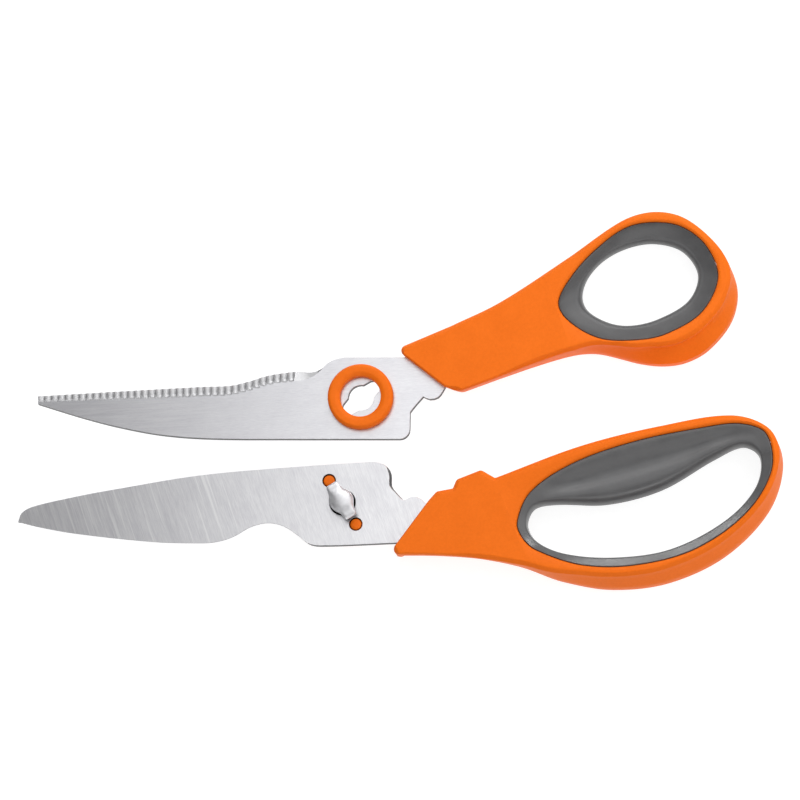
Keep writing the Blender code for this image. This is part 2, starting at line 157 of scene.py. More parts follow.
SERRATED_BLADE = [
    (-108.7, -0.9, 0), (-93.7, -5.7), (-81.5, -9.0), (-66.7, -11.9), (-50.2, -13.3),
    (-20.5, -13.8, 0), (16.4, -14.2, 3.4), (16.5, -5.0, 0.8), (18.3, -2.7),
    (20.8, 0.2, 0), (23.0, -0.7), (25.9, 0.0), (28.6, 4.1, 0), (35.1, 8.8), (54.5, 17.8),
    (56.5, 22.4), (52.0, 25.1), (33.0, 17.2), (22.0, 13.9), (13.9, 13.6, 0), (-5.9, 13.8, 0),
    (-9.8, 12.8), (-15.8, 9.3), (-22.3, 9.5, 0), (-31.5, 8.2), (-37.9, 6.3), (-44.3, 4.9),
    (-54.0, 4.6), (-82.8, 3.3), (-108.9, 2.0, 0),
]
SERRATED_HANDLE = [
    (11.9, 15.8, 1.8), (28.1, 3.0, 5.0), (33.0, 1.1, 5.0), (46.0, 5.8), (58.2, 10.5),
    (70.5, 14.5), (77.8, 15.3), (84.5, 14.2), (93.0, 12.0), (100.9, 11.2), (108.4, 12.4),
    (115.8, 16.6), (123.2, 26.0), (125.2, 36.3), (121.6, 46.6), (114.3, 55.0), (106.1, 60.3),
    (96.7, 61.5), (87.0, 58.5), (69.0, 46.0), (46.5, 31.3), (30.3, 23.5, 3.0),
]
SERRATED_POCKET = [
    (66.1, 31.4), (69.0, 25.2), (79.8, 18.7), (92.7, 17.9), (102.5, 19.9), (114.2, 27.1),
    (119.6, 39.0), (115.5, 49.9), (107.0, 56.6), (97.2, 58.1), (88.4, 56.3), (79.3, 49.8),
    (71.3, 41.2),
]
THUMB_HOLE = [
    (73.6, 34.1), (75.7, 29.2), (83.1, 25.1), (90.4, 24.2), (99.3, 26.4), (109.1, 32.4),
    (112.2, 41.1), (107.1, 49.0), (98.0, 51.9), (89.3, 50.8), (81.2, 46.8), (75.6, 40.7),
]


# ---- shape helpers ---------------------------------------------------------------------------

CORNER_CLEARANCE = 0.5      # a point nearer than this to a corner's arc would fold the edge


def ramp(value, low, high):
    """0 below low, 1 above high, a straight rise between."""
    return min(1.0, max(0.0, (value - low) / (high - low)))


def rounded_corner(curve, index, radius):
    """Arc that replaces the corner at index, with how many points it swallows on each side."""
    spot = curve[index]
    back = (curve[index - 1] - spot).normalized()
    ahead = (curve[(index + 1) % len(curve)] - spot).normalized()
    half = back.angle(ahead) / 2
    reach = radius / math.tan(half)
    clear = reach + CORNER_CLEARANCE
    counts = []
    for way in (-1, 1):
        swallowed = 0
        while (curve[(index + way * (swallowed + 1)) % len(curve)] - spot).length < clear:
            swallowed += 1
        counts.append(swallowed)
    centre = spot + (back + ahead).normalized() * radius / math.sin(half)
    start = spot + back * reach - centre
    end = spot + ahead * reach - centre
    pieces = 6
    arc = []
    for k in range(pieces + 1):
        t = k / pieces
        arc.append(centre + start.slerp(end, t).normalized() * radius)
    return arc, counts


def smooth_outline(points, step):
    """Closed curve through the points, with a vertex about every step millimetres."""
    knots = [Vector(point[:2]) for point in points]
    corner = [len(point) == 3 for point in points]
    count = len(knots)
    curve = []
    rounded = {}
    for i in range(count):
        before, start, end, after = (knots[(i + k) % count] for k in (-1, 0, 1, 2))
        span = (end - start).length
        leave = end - start
        if not corner[i]:
            leave = (end - before) * span / ((end - start).length + (start - before).length)
        arrive = end - start
        if not corner[(i + 1) % count]:
            arrive = (after - start) * span / ((after - end).length + span)
        if corner[i] and points[i][2]:
            rounded[len(curve)] = points[i][2]
        pieces = max(1, round(span / step))
        for j in range(pieces):
            t = j / pieces
            curve.append(start * (2 * t**3 - 3 * t**2 + 1) + leave * (t**3 - 2 * t**2 + t)
                         + end * (3 * t**2 - 2 * t**3) + arrive * (t**3 - t**2))
    keep = {i: [point] for i, point in enumerate(curve)}
    for index, radius in rounded.items():
        arc, (before, after) = rounded_corner(curve, index, radius)
        for k in range(-before, after + 1):
            keep[(index + k) % len(curve)] = []
        keep[index] = arc
    return [point for i in range(len(curve)) for point in keep[i]]


def even_outline(points, count):
    """The same closed curve, cut into count equal lengths."""
    curve = smooth_outline(points, 0.5)
    lengths = [0.0]
    for i, point in enumerate(curve):
        lengths.append(lengths[-1] + (curve[(i + 1) % len(curve)] - point).length)
    result = []
    i = 0
    for k in range(count):
        target = lengths[-1] * k / count
        while lengths[i + 1] < target:
            i += 1
        share = (target - lengths[i]) / (lengths[i + 1] - lengths[i])
        result.append(curve[i].lerp(curve[(i + 1) % len(curve)], share))
    return result


def outward_normals(curve):
    """Unit vectors square to a counter-clockwise closed curve, at each of its points."""
    normals = []
    for i, point in enumerate(curve):
        back = (point - curve[i - 1]).normalized()
        ahead = (curve[(i + 1) % len(curve)] - point).normalized()
        normals.append(Vector(((back + ahead).y, -(back + ahead).x)).normalized())
    return normals


def section(curve, z, inset=0.0, shaping=None):
    """The curve at height z, moved in by inset, then by shaping(point, normal, z)."""
    loop = []
    for point, normal in zip(curve, outward_normals(curve)):
        moved = point - normal * inset
        if shaping:
            moved = moved + shaping(point, normal, z)
        loop.append((moved.x, moved.y, z))
    return loop


def new_piece(name, shape, offset, material=None, sharp=32):
    """Object from a bmesh in millimetres, baked into place so that its origin is the frame's."""
    bmesh.ops.recalc_face_normals(shape, faces=shape.faces)
    for vertex in shape.verts:
        vertex.co = Vector((vertex.co.x + offset[0], vertex.co.y + offset[1], vertex.co.z)) * MM
    mesh = bpy.data.meshes.new(name)
    shape.to_mesh(mesh)
    shape.free()
    item = bpy.data.objects.new(name, mesh)
    bpy.context.scene.collection.objects.link(item)
    if material:
        mesh.materials.append(material)
        mesh.shade_smooth()
        mesh.set_sharp_from_angle(angle=math.radians(sharp))
    return item


def loft(name, loops, offset, material=None, ring=False, sharp=32):
    """Skin a stack of loops; a ring's last loop joins its first, others get flat ends."""
    shape = bmesh.new()
    rows = [[shape.verts.new(point) for point in loop] for loop in loops]
    pairs = list(zip(rows, rows[1:]))
    if ring:
        pairs.append((rows[-1], rows[0]))
    else:
        shape.faces.new(list(reversed(rows[0])))
        shape.faces.new(rows[-1])
    for lower, upper in pairs:
        for i in range(len(lower)):
            j = (i + 1) % len(lower)
            shape.faces.new((lower[i], lower[j], upper[j], upper[i]))
    return new_piece(name, shape, offset, material, sharp)


def turned(name, profile, offset, material=None, sides=96, ring=False, sharp=32):
    """Turn a profile of (radius, height) points about the vertical axis."""
    loops = []
    for radius, height in profile:
        angles = [2 * math.pi * i / sides for i in range(sides)]
        loops.append([(radius * math.cos(a), radius * math.sin(a), height) for a in angles])
    return loft(name, loops, offset, material, ring, sharp)


def along(angle, distance):
    turn = math.radians(angle)
    return Vector((math.cos(turn), math.sin(turn))) * distance


def apply_boolean(item, other, operation='DIFFERENCE'):
    """Boolean with another object, applied at once; the other object is deleted."""
    modifier = item.modifiers.new(other.name, 'BOOLEAN')
    modifier.operation = operation
    modifier.solver = 'EXACT'
    modifier.object = other
    graph = bpy.context.evaluated_depsgraph_get()
    mesh = bpy.data.meshes.new_from_object(item.evaluated_get(graph))
    item.modifiers.clear()
    old = item.data
    item.data = mesh
    bpy.data.meshes.remove(old)
    bpy.data.objects.remove(other)


def finish_piece(item, node, body, sharp=32):
    """Shade a cut piece and hand it to the frame in its CAD node's place."""
    item.data.shade_smooth()
    item.data.set_sharp_from_angle(angle=math.radians(sharp))
    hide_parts(node)
    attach(item, body)


def flared_hole(outline, z_range, centre):
    """Cutter for a hole with softly broken edges on both faces."""
    low, high = z_range
    lead = 1.0
    levels = ((low - lead, -lead - EDGE_BREAK), (low, -EDGE_BREAK), (low + EDGE_BREAK, 0.0),
              (high - EDGE_BREAK, 0.0), (high, -EDGE_BREAK), (high + lead, -lead - EDGE_BREAK))
    return loft("cut", [section(outline, z, inset) for z, inset in levels], centre)


def circle_outline(radius, sides=64):
    return [along(360.0 * i / sides, radius) for i in range(sides)]


def keyhole_outline():
    """Round hole with a slot across it, as one closed line."""
    half = KEYHOLE_WIDTH / 2
    reach = math.degrees(math.asin(half / KEYHOLE_R))
    loop = []
    for turn in (0.0, 180.0):
        for step in range(9):
            a = -90.0 + 180.0 * step / 8
            end = along(0.0, KEYHOLE_LENGTH / 2 - half) + along(a, half)
            loop.append(Matrix.Rotation(math.radians(turn), 2) @ end)
        for step in range(1, 20):
            a = reach + (180.0 - 2 * reach) * step / 20
            loop.append(along(a + turn, KEYHOLE_R))
    spin = Matrix.Rotation(math.radians(KEYHOLE_ANGLE), 2)
    return [spin @ point for point in loop]


# ---- materials -------------------------------------------------------------------------------

LOOP_SLOPE = 0.29           # rise of the finger opening's long axis
RUBBED_SMOOTH = 0.20        # how much roughness the rubbed floor of that opening has lost


class Shader:
    """Small helper that adds and links nodes of one material."""

    def __init__(self, name):
        self.material = bpy.data.materials.new(name)
        self.material.use_nodes = True
        self.tree = self.material.node_tree
        self.principled = self.tree.nodes["Principled BSDF"]
        self.place = self.add("ShaderNodeTexCoord").outputs["Object"]

    def add(self, kind, inputs=None, **settings):
        node = self.tree.nodes.new(kind)
        for key, value in settings.items():
            setattr(node, key, value)
        for key, value in (inputs or {}).items():
            self.put(node.inputs[key], value)
        return node

    def put(self, socket, value):
        if isinstance(value, bpy.types.NodeSocket):
            self.tree.links.new(value, socket)
        else:
            socket.default_value = value

    def set(self, **values):
        for key, value in values.items():
            self.put(self.principled.inputs[key.replace("_", " ")], value)

    def stretched(self, angle, across, lengthwise):
        """Place, turned by angle in degrees and then scaled: lengthwise runs along the grain."""
        turned_place = self.add("ShaderNodeMapping", {"Vector": self.place,
                                                      "Rotation": (0, 0, math.radians(-angle))})
        return self.add("ShaderNodeMapping", {"Vector": turned_place.outputs[0],
                                              "Scale": (lengthwise, across, across)}).outputs[0]

    def noise(self, vector, scale, detail=3.0, roughness=0.55):
        return self.add("ShaderNodeTexNoise", {"Vector": vector, "Scale": scale, "Detail": detail,
                                               "Roughness": roughness}).outputs["Fac"]

    def remap(self, value, low, high, to_low, to_high):
        return self.add("ShaderNodeMapRange", {"Value": value, "From Min": low, "From Max": high,
                                               "To Min": to_low, "To Max": to_high}).outputs[0]

    def maths(self, operation, a, b):
        node = self.add("ShaderNodeMath", operation=operation)
        self.put(node.inputs[0], a)
        self.put(node.inputs[1], b)
        return node.outputs[0]

    def colours(self, factor, *stops):
        ramp_node = self.add("ShaderNodeValToRGB", {"Fac": factor})
        elements = ramp_node.color_ramp.elements
        while len(elements) < len(stops):
            elements.new(0.5)
        for element, (position, colour) in zip(elements, stops):
            element.position = position
            element.color = (*colour, 1.0)
        return ramp_node.outputs["Color"]

    def bump(self, height, strength, distance):
        return self.add("ShaderNodeBump", {"Height": height, "Strength": strength,
                                           "Distance": distance}).outputs["Normal"]


def brushed_steel(name, angle, fine, coarse, dark, light, gloss=0.28, lines=0.0):
    """Steel with a directional grind: fine scratches, deeper to the tip, and bright lines."""
    shader = Shader(name)
    scratches = shader.noise(shader.stretched(angle, fine, fine / 12.0), 1.0, 4.0, 0.7)
    streaks = shader.noise(shader.stretched(angle, coarse, coarse / 18.0), 1.0, 2.0, 0.5)
    blotches = shader.noise(shader.place, 120.0, 3.0, 0.6)
    x = shader.add("ShaderNodeSeparateXYZ", {"Vector": shader.place}).outputs["X"]
    depth = shader.remap(x, -0.03, -0.10, 0.12, 0.50)
    grain = shader.maths('ADD', shader.maths('MULTIPLY', scratches, 0.45),
                         shader.maths('MULTIPLY', shader.maths('SUBTRACT', streaks, 0.5), depth))
    tone = shader.maths('ADD', shader.maths('ADD', grain, 0.20),
                        shader.maths('MULTIPLY', blotches, 0.15))
    if lines:
        scored = shader.noise(shader.stretched(angle, 1500.0, 30.0), 1.0, 2.0, 0.4)
        scored = shader.maths('MULTIPLY', shader.remap(scored, 0.58, 0.70, 0.0, lines),
                              shader.remap(x, -0.02, -0.06, 0.15, 1.0))
        tone = shader.maths('ADD', tone, scored)
    shader.set(Base_Color=shader.colours(tone, (0.33, dark), (0.66, light)),
               Metallic=1.0,
               Roughness=shader.remap(scratches, 0.3, 0.7, gloss + 0.08, gloss),
               Normal=shader.bump(scratches, 0.18, 0.00003))
    return shader.material


def polished_steel(name, low, high):
    """Tumbled or rolled steel; low and high are the limits of its roughness."""
    shader = Shader(name)
    haze = shader.noise(shader.place, 900.0, 3.0, 0.6)
    turning = shader.noise(shader.stretched(0.0, 5200.0, 600.0), 1.0, 2.0, 0.5)
    shader.set(Base_Color=shader.colours(haze, (0.35, (0.66, 0.66, 0.68)),
                                         (0.65, (0.74, 0.74, 0.76))),
               Metallic=1.0,
               Roughness=shader.remap(haze, 0.3, 0.7, low, high),
               Normal=shader.bump(turning, 0.08, 0.00002))
    return shader.material


def shaded_steel(name, dark, light):
    """Unground steel with its colour painted nearly black as shade, for stamped walls and shadowed
    gaps, with upright tearing marks.
    """
    shader = Shader(name)
    tearing = shader.noise(shader.stretched(0.0, 400.0, 4000.0), 1.0, 3.0, 0.6)
    shader.set(Base_Color=shader.colours(tearing, (0.35, dark), (0.7, light)),
               Metallic=1.0,
               Roughness=shader.remap(tearing, 0.3, 0.7, 0.36, 0.50),
               Normal=shader.bump(tearing, 0.2, 0.00004))
    return shader.material


def orange_plastic(name):
    """Moulded plastic: spark-eroded grain, slight mottling and fine speckle."""
    shader = Shader(name)
    mottle = shader.noise(shader.place, 130.0, 3.0, 0.5)
    grain = shader.noise(shader.place, 3200.0, 2.0, 0.5)
    speckle = shader.noise(shader.place, 1100.0, 3.0, 0.7)
    tone = shader.maths('ADD', shader.maths('MULTIPLY', mottle, 0.4),
                        shader.maths('MULTIPLY', speckle, 0.6))
    shader.set(Base_Color=shader.colours(tone, (0.32, (0.82, 0.148, 0.004)),
                                         (0.68, (0.90, 0.169, 0.007))),
               Roughness=shader.remap(grain, 0.3, 0.7, 0.46, 0.56),
               Specular_IOR_Level=0.13,
               Normal=shader.bump(grain, 0.14, 0.00004))
    return shader.material


def grey_rubber(name):
    """Soft overmould: very fine pebble texture, rubbed smoother along the finger loop's floor."""
    shader = Shader(name)
    pebbles = shader.add("ShaderNodeTexVoronoi", {"Vector": shader.place, "Scale": 2100.0})
    cloud = shader.noise(shader.place, 160.0, 3.0, 0.55)
    spot = shader.add("ShaderNodeSeparateXYZ", {"Vector": shader.place}).outputs
    above_loop = shader.maths('SUBTRACT', spot["Y"], shader.maths('MULTIPLY', spot["X"], LOOP_SLOPE))
    rubbed = shader.remap(above_loop, -0.022, -0.030, 0.0, RUBBED_SMOOTH)
    dull = shader.remap(cloud, 0.3, 0.7, 0.38, 0.48)
    shader.set(Base_Color=shader.colours(cloud, (0.3, (0.085, 0.085, 0.087)),
                                         (0.7, (0.105, 0.105, 0.107))),
               Roughness=shader.maths('SUBTRACT', dull, rubbed),
               Specular_IOR_Level=0.55, Sheen_Weight=0.12, Sheen_Roughness=0.35,
               Normal=shader.bump(pebbles.outputs["Distance"], 0.14, 0.00005))
    return shader.material


knife_steel = brushed_steel("knife_steel_grind", 109.0, 3600.0, 900.0,
                            (0.58, 0.575, 0.61), (0.82, 0.82, 0.83), lines=0.25)
serrated_steel = brushed_steel("serrated_steel_grain", 3.0, 5200.0, 1500.0,
                               (0.60, 0.595, 0.63), (0.80, 0.80, 0.82))
flute_steel = brushed_steel("flute_grind", 90.0, 4200.0, 1800.0,
                            (0.47, 0.47, 0.48), (0.62, 0.62, 0.63), 0.48)
# painted shade: the blade walls' steel is near black, standing in for the shade on stamped edges and
# in holes
wall_shade_steel = shaded_steel("shaded_wall_steel", (0.02, 0.02, 0.022), (0.06, 0.06, 0.063))
# painted shadow: near-black steel under the stud's head stands in for the shadow in the gap round
# its neck
gap_shadow_steel = shaded_steel("gap_shadow_steel", (0.012, 0.012, 0.012), (0.03, 0.03, 0.03))
stud_steel = polished_steel("stud_polish", 0.42, 0.52)
washer_steel = polished_steel("washer_steel", 0.14, 0.26)
orange = orange_plastic("orange_satin_plastic")
rubber = grey_rubber("grey_soft_rubber")


# ---- blades ----------------------------------------------------------------------------------

def knife_grind(point, normal, z):
    """Bevel on the underside along the cutting edge, from the tip to the bone notch."""
    share = ramp(-normal.y, *FACING) * ramp(-point.x, *KNIFE_HEEL)
    share *= 0.1 + 0.9 * ramp(point.x, *KNIFE_TIP)
    depth = KNIFE_BEVEL * share * ramp(KNIFE_Z[1] - EDGE_LAND - z, 0.0, 2.1)
    shoulder = ramp(normal.x, 0.5, 0.9) * ramp(point.y, -1.0, 1.5)
    lean = SHOULDER_LEAN * shoulder * ramp(z, *KNIFE_Z)
    return Vector((0.0, depth)) - normal * lean


def serrated_grind(point, normal, z):
    """Bevel on the outer face along the serrated edge and the smooth hollow behind it."""
    share = ramp(normal.y, *FACING) * ramp(-point.x, *HOLLOW)
    share *= 1 - 0.8 * ramp(-point.x, *FIRST_TOOTH)
    depth = SERRATED_BEVEL * share * ramp(z, SERRATED_Z[0] + SERRATED_LAND, SERRATED_Z[1])
    return Vector((0.0, -depth))


def blade_levels(z_range, land):
    """Heights and insets of a plate with softly broken edges; land is the ground edge's height."""
    low, high = z_range
    return ((low, EDGE_BREAK), (low + EDGE_BREAK, 0.0), (land, 0.0), (high - EDGE_BREAK, 0.0),
            (high, EDGE_BREAK))


def mark_walls(item):
    """Give a piece's upright faces the unground steel painted dark as shade."""
    for face in item.data.polygons:
        if abs(face.normal.z) < WALL_TILT:
            face.material_index = WALL


def cut_wall(blade, outline, z_range, centre):
    """Cut a hole whose walls are unground steel painted dark as shade."""
    cutter = flared_hole(outline, z_range, centre)
    cutter.data.materials.append(knife_steel)
    cutter.data.materials.append(wall_shade_steel)
    mark_walls(cutter)
    apply_boolean(blade, cutter)


def make_knife_blade():
    curve = smooth_outline(KNIFE_BLADE, 1.2)
    levels = blade_levels(KNIFE_Z, KNIFE_Z[1] - EDGE_LAND)
    loops = [section(curve, z, inset, knife_grind) for z, inset in levels]
    blade = loft("knife_blade_ground", loops, STUD_AXIS, knife_steel)
    blade.data.materials.append(wall_shade_steel)
    mark_walls(blade)
    cut_wall(blade, circle_outline(STUD_HOLE_R), KNIFE_Z, STUD_AXIS)
    for side in (-1, 1):
        centre = STUD_AXIS + along(HEAD_ANGLE, PEG_OFFSET * side)
        cut_wall(blade, circle_outline(PEG_HOLE_R, 40), KNIFE_Z, centre)
    finish_piece(blade, "knife_blade", "knife_half")


def flute_cutter(parity):
    """Curved rods for every other tooth: each plunges in, then runs out flatly at the edge."""
    depth = SERRATED_Z[1] - SERRATED_Z[0] - EDGE_LAND
    path = ((-0.30, 0.9), (-0.02, 0.1), (0.06, -0.30), (0.20, -0.60), (0.45, -0.80),
            (1.00, -0.90), (1.80, -1.05))
    sides = 40
    edge = [p for p in smooth_outline(SERRATED_BLADE, 0.6) if p.y > 0 and p.x < TOOTH_END_X + 3]
    shape = bmesh.new()
    for tooth in range(parity, TOOTH_COUNT, 2):
        x = TOOTH_END_X - TOOTH_PITCH * tooth
        y = min(edge, key=lambda p: abs(p.x - x)).y
        length = TOOTH_LENGTH * (0.68 + 0.32 * ramp(x, *SHORT_TEETH))
        spots = [Vector((y - length + share * length, SERRATED_Z[1] + drop * depth))
                 for share, drop in path]
        rows = []
        for across, deep in spots:
            ring = []
            for step in range(sides):
                a = 2 * math.pi * step / sides
                raised = 1 + math.sin(a)
                aside = math.cos(a) - TOOTH_SKEW * raised
                spot = (x + aside * TOOTH_R, across, deep + raised * TOOTH_R)
                ring.append(shape.verts.new(spot))
            rows.append(ring)
        shape.faces.new(list(reversed(rows[0])))
        shape.faces.new(rows[-1])
        for near, far in zip(rows, rows[1:]):
            for i in range(sides):
                j = (i + 1) % sides
                shape.faces.new((near[i], near[j], far[j], far[i]))
    cutter = new_piece("cut_flutes", shape, KEYHOLE_AXIS)
    for material in (serrated_steel, wall_shade_steel, flute_steel):
        cutter.data.materials.append(material)
    for face in cutter.data.polygons:
        face.material_index = FLUTE
    return cutter


def make_serrated_blade():
    curve = smooth_outline(SERRATED_BLADE, 1.2)
    levels = blade_levels(SERRATED_Z, SERRATED_Z[0] + SERRATED_LAND)
    loops = [section(curve, z, inset, serrated_grind) for z, inset in levels]
    blade = loft("serrated_blade_ground", loops, KEYHOLE_AXIS, serrated_steel)
    blade.data.materials.append(wall_shade_steel)
    blade.data.materials.append(flute_steel)
    mark_walls(blade)
    for face in blade.data.polygons:
        if WALL_TILT < face.normal.z < HOLLOW_TILT:
            face.material_index = FLUTE
    for parity in (0, 1):
        apply_boolean(blade, flute_cutter(parity))
    cut_wall(blade, keyhole_outline(), SERRATED_Z, KEYHOLE_AXIS)
    finish_piece(blade, "serrated_blade", "serrated_half", 12)


# ---- pivot -----------------------------------------------------------------------------------

def soft_maximum(first, second, blend=6.0):
    """The larger of two values, with a smooth passage where they meet."""
    return (first**blend + second**blend) ** (1 / blend)


def bar_radius(angle, half_length, half_width):
    """Distance from the middle of a squarish bar to its side, at angle to its axis."""
    power = 8.0
    across = abs(math.sin(angle)) / half_width
    lengthwise = abs(math.cos(angle)) / half_length
    return (across**power + lengthwise**power) ** (-1 / power)


def head_loop(share, inset=0.0, lift=None):
    """Ring of the stud's head at share of the way out; lift is its height, or the crown's own."""
    base = SERRATED_Z[1] + GAP
    rise = STUD_TOP - base
    half_length = HEAD_LENGTH / 2
    loop = []
    steps = 144
    for step in range(steps):
        angle = 2 * math.pi * step / steps
        bar = bar_radius(angle, half_length - inset, HEAD_WIDTH / 2 - inset)
        radius = share * soft_maximum(STUD_R - inset, bar)
        height = lift
        if lift is None:
            dome = math.sqrt(max(0.0, 1 - (radius / (STUD_R + 0.35))**2))
            saddle = EAR_HEIGHT * (1 - 0.3 * (radius * math.cos(angle) / half_length)**2)
            edge = (1 - share**7) ** 0.45
            height = 0.15 + (rise - 0.15) * soft_maximum(dome, saddle, 5.0) * edge
        spot = along(math.degrees(angle) + HEAD_ANGLE, radius)
        loop.append((spot.x, spot.y, base + height))
    return loop


def make_stud():
    """Tumbled stud: a dome that flows into two arched ears, on a slim neck and a flange."""
    underside = SERRATED_Z[1] + GAP
    flange = (2.2, 3.1)
    shaft = [(5.3, flange[0]), (5.6, flange[0] + 0.3), (5.6, flange[1] - 0.3), (5.3, flange[1]),
             (NECK_R, flange[1] + 0.15), (NECK_R, underside - 0.1)]
    loops = []
    for radius, z in shaft:
        ring = circle_outline(radius, 144)
        loops.append([(*(Matrix.Rotation(math.radians(HEAD_ANGLE), 2) @ p), z) for p in ring])
    loops.append(head_loop(1.0, 0.2, 0.0))
    loops.append(head_loop(1.0, 0.0, 0.15))
    for share in (0.998, 0.99, 0.975, 0.95, 0.92, 0.88, 0.83, 0.77, 0.7, 0.62, 0.54, 0.46, 0.38,
                  0.3, 0.22, 0.15, 0.08, 0.03):
        loops.append(head_loop(share))
    stud = loft("pivot_stud_polished", loops, STUD_AXIS, stud_steel)
    # the neck and flange take the near-black steel, a painted shadow in the gap under the head
    stud.data.materials.append(gap_shadow_steel)
    for face in stud.data.polygons:
        if face.center.z < underside * MM:
            face.material_index = 1
    finish_piece(stud, "pivot_stud", "knife_half", 40)


def make_cap():
    top = KNIFE_Z[0] - GAP
    profile = [(CAP_R - 0.9, 0.0), (CAP_R - 0.35, 0.12), (CAP_R - 0.1, 0.4), (CAP_R, 0.9),
               (CAP_R, top - 0.25), (CAP_R - 0.25, top)]
    cap = turned("pivot_cap_moulded", profile, STUD_AXIS, orange)
    recess = [(6.2, 1.3), (6.2, top + 1.0)]
    apply_boolean(cap, turned("cut", recess, STUD_AXIS))
    for side in (-1, 1):
        centre = STUD_AXIS + along(HEAD_ANGLE, PEG_OFFSET * side)
        crown = KNIFE_Z[1] - 0.25
        peg = [(PEG_R, 2.3), (PEG_R, crown - 0.5), (PEG_R - 0.15, crown - 0.2),
               (PEG_R - 0.6, crown - 0.03), (PEG_R - 1.2, crown)]
        apply_boolean(cap, turned("join", peg, centre, sides=48), 'UNION')
    finish_piece(cap, "pivot_cap", "knife_half")


def make_ring():
    """Pivot ring: a flat crown between a narrow outer and a broad inner chamfer."""
    low = SERRATED_Z[1] + GAP
    top = RING_TOP
    profile = [(RING_R - 0.1, low), (RING_R, low + 0.15), (RING_R, top - 0.95),
               (RING_R - 0.1, top - 0.7), (RING_R - 0.65, top - 0.15), (RING_R - 0.85, top - 0.04),
               (RING_R - 1.1, top), (RING_BORE_R + 1.7, top), (RING_BORE_R + 1.45, top - 0.03),
               (RING_BORE_R + 1.25, top - 0.1), (RING_BORE_R + 0.3, top - 0.55),
               (RING_BORE_R + 0.08, top - 0.75), (RING_BORE_R, top - 1.1), (RING_BORE_R, low)]
    ring = turned("pivot_ring_moulded", profile, KEYHOLE_AXIS, orange, 128, ring=True)
    for side in (-1, 1):
        centre = KEYHOLE_AXIS + along(KEYHOLE_ANGLE + 90, 8.9 * side)
        peg = [(1.3, SERRATED_Z[0] + 0.3), (1.3, low + 1.0)]
        apply_boolean(ring, turned("join", peg, centre, sides=32), 'UNION')
    finish_piece(ring, "pivot_ring", "serrated_half", 24)


def colour_washer():
    """The hidden washer keeps its CAD shape and only takes its steel."""
    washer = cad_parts["tension_washer"]
    washer.data.materials.clear()
    washer.data.materials.append(washer_steel)


# ---- handles and grips -----------------------------------------------------------------------

def draft(point, normal, z, nose):
    """The near side of a handle's front narrows towards the table, so it stays out of sight."""
    place = ramp(point.x, nose - 1.0, nose + 2.2) * (1 - ramp(point.x, 46.0, 86.0))
    return -normal * DRAFT * (12.0 - min(z, 12.0)) * ramp(-normal.y, 0.1, 0.7) * place


def crisp_front(normal, z, facing):
    """Fill out the shoulder again along the slanting front edge over the blade."""
    share = ramp(normal.dot(facing), 0.90, 0.98)
    return normal * CRISP * share * ramp(z, HANDLE_TOP - 1.1, HANDLE_TOP)


def knife_flank(point, normal, z):
    """Side band flared towards the table, and the hollow under the upper edge."""
    facing = max(0.0, normal.dot(Vector((0.33, -0.944))))
    flare = KNIFE_FLARE * facing**2 * ramp(point.x, 58.0, 80.0) * ramp(z, 5.5, 12.0)
    bump = ramp(point.x, 76.0, 92.0) * ramp(-point.x, -122.0, -108.0)
    nest = NEST_DEPTH * bump * ramp(point.y, 8.0, 15.0) * ramp(-z, -10.5, -8.0)
    front = crisp_front(normal, z, Vector((-0.80, 0.60))) * ramp(-point.x, -32.0, -30.0)
    front += crisp_front(normal, z, Vector((0.05, -1.0))) * ramp(-point.x, -48.0, -36.0)
    return front - normal * flare + Vector((0.0, -nest))


def serrated_flank(point, normal, z):
    """Wide side band, flared towards the table round the end of the thumb loop."""
    facing = max(0.0, normal.dot(Vector((0.42, -0.907))))
    flare = SERRATED_FLARE * facing * ramp(point.x, 72.0, 96.0) * ramp(z, 5.5, 10.5)
    front = crisp_front(normal, z, Vector((-0.57, -0.82))) * ramp(-point.x, -32.0, -30.0)
    front += crisp_front(normal, z, Vector((0.34, -0.94))) * ramp(-point.x, -58.0, -46.0)
    return front - normal * flare


def knife_lining(point, normal, z):
    """The lining follows the hollow under the handle's upper edge."""
    return knife_flank(point, Vector((0.0, 1.0)), z)


def make_handle(name, outline, pocket, flank, lining, tang, tang_z, offset):
    """Moulded handle: chamfered shoulders, a softly edged loop pocket and a slit for the blade."""
    nose = min(point[0] for point in outline)

    def shaping(point, normal, z):
        return flank(point, normal, z) + draft(point, normal, z, nose)

    curve = smooth_outline(outline, 1.6)
    top = HANDLE_TOP
    shoulders = [(0.0, 0.9), (0.25, 0.5), (0.7, 0.2), (1.4, 0.0), (2.6, 0.0), (4.2, 0.0),
                 (5.5, 0.0), (6.7, 0.0), (8.0, 0.0), (9.2, 0.0), (10.5, 0.0), (top - 2.0, 0.0),
                 (top - 1.1, 0.02), (top - 0.9, 0.12), (top - 0.2, 1.05), (top - 0.06, 1.25),
                 (top, 1.45), (top, 1.65)]
    loops = [section(curve, z, inset, shaping) for z, inset in shoulders]
    body = loft(f"{name}_moulded", loops, offset, orange)
    wall = even_outline(pocket, 200)
    levels = [(-1.0, -0.8), (0.0, -0.3), (0.5, 0.0), (4.5, 0.0), (8.0, 0.0), (10.5, 0.0),
              (RIM_FOOT, 0.0), (RIM_FOOT + 0.3, -0.08), (top - 0.3, -0.35), (top, -0.75),
              (top + 1.0, -2.2)]
    apply_boolean(body, loft("cut", [section(wall, z, i, lining) for z, i in levels], offset))
    slit = smooth_outline(tang, 1.2)
    low, high = tang_z[0] - 0.12, tang_z[1] + 0.12
    apply_boolean(body, loft("cut", [section(slit, z, -0.12) for z in (low, high)], offset))
    return body


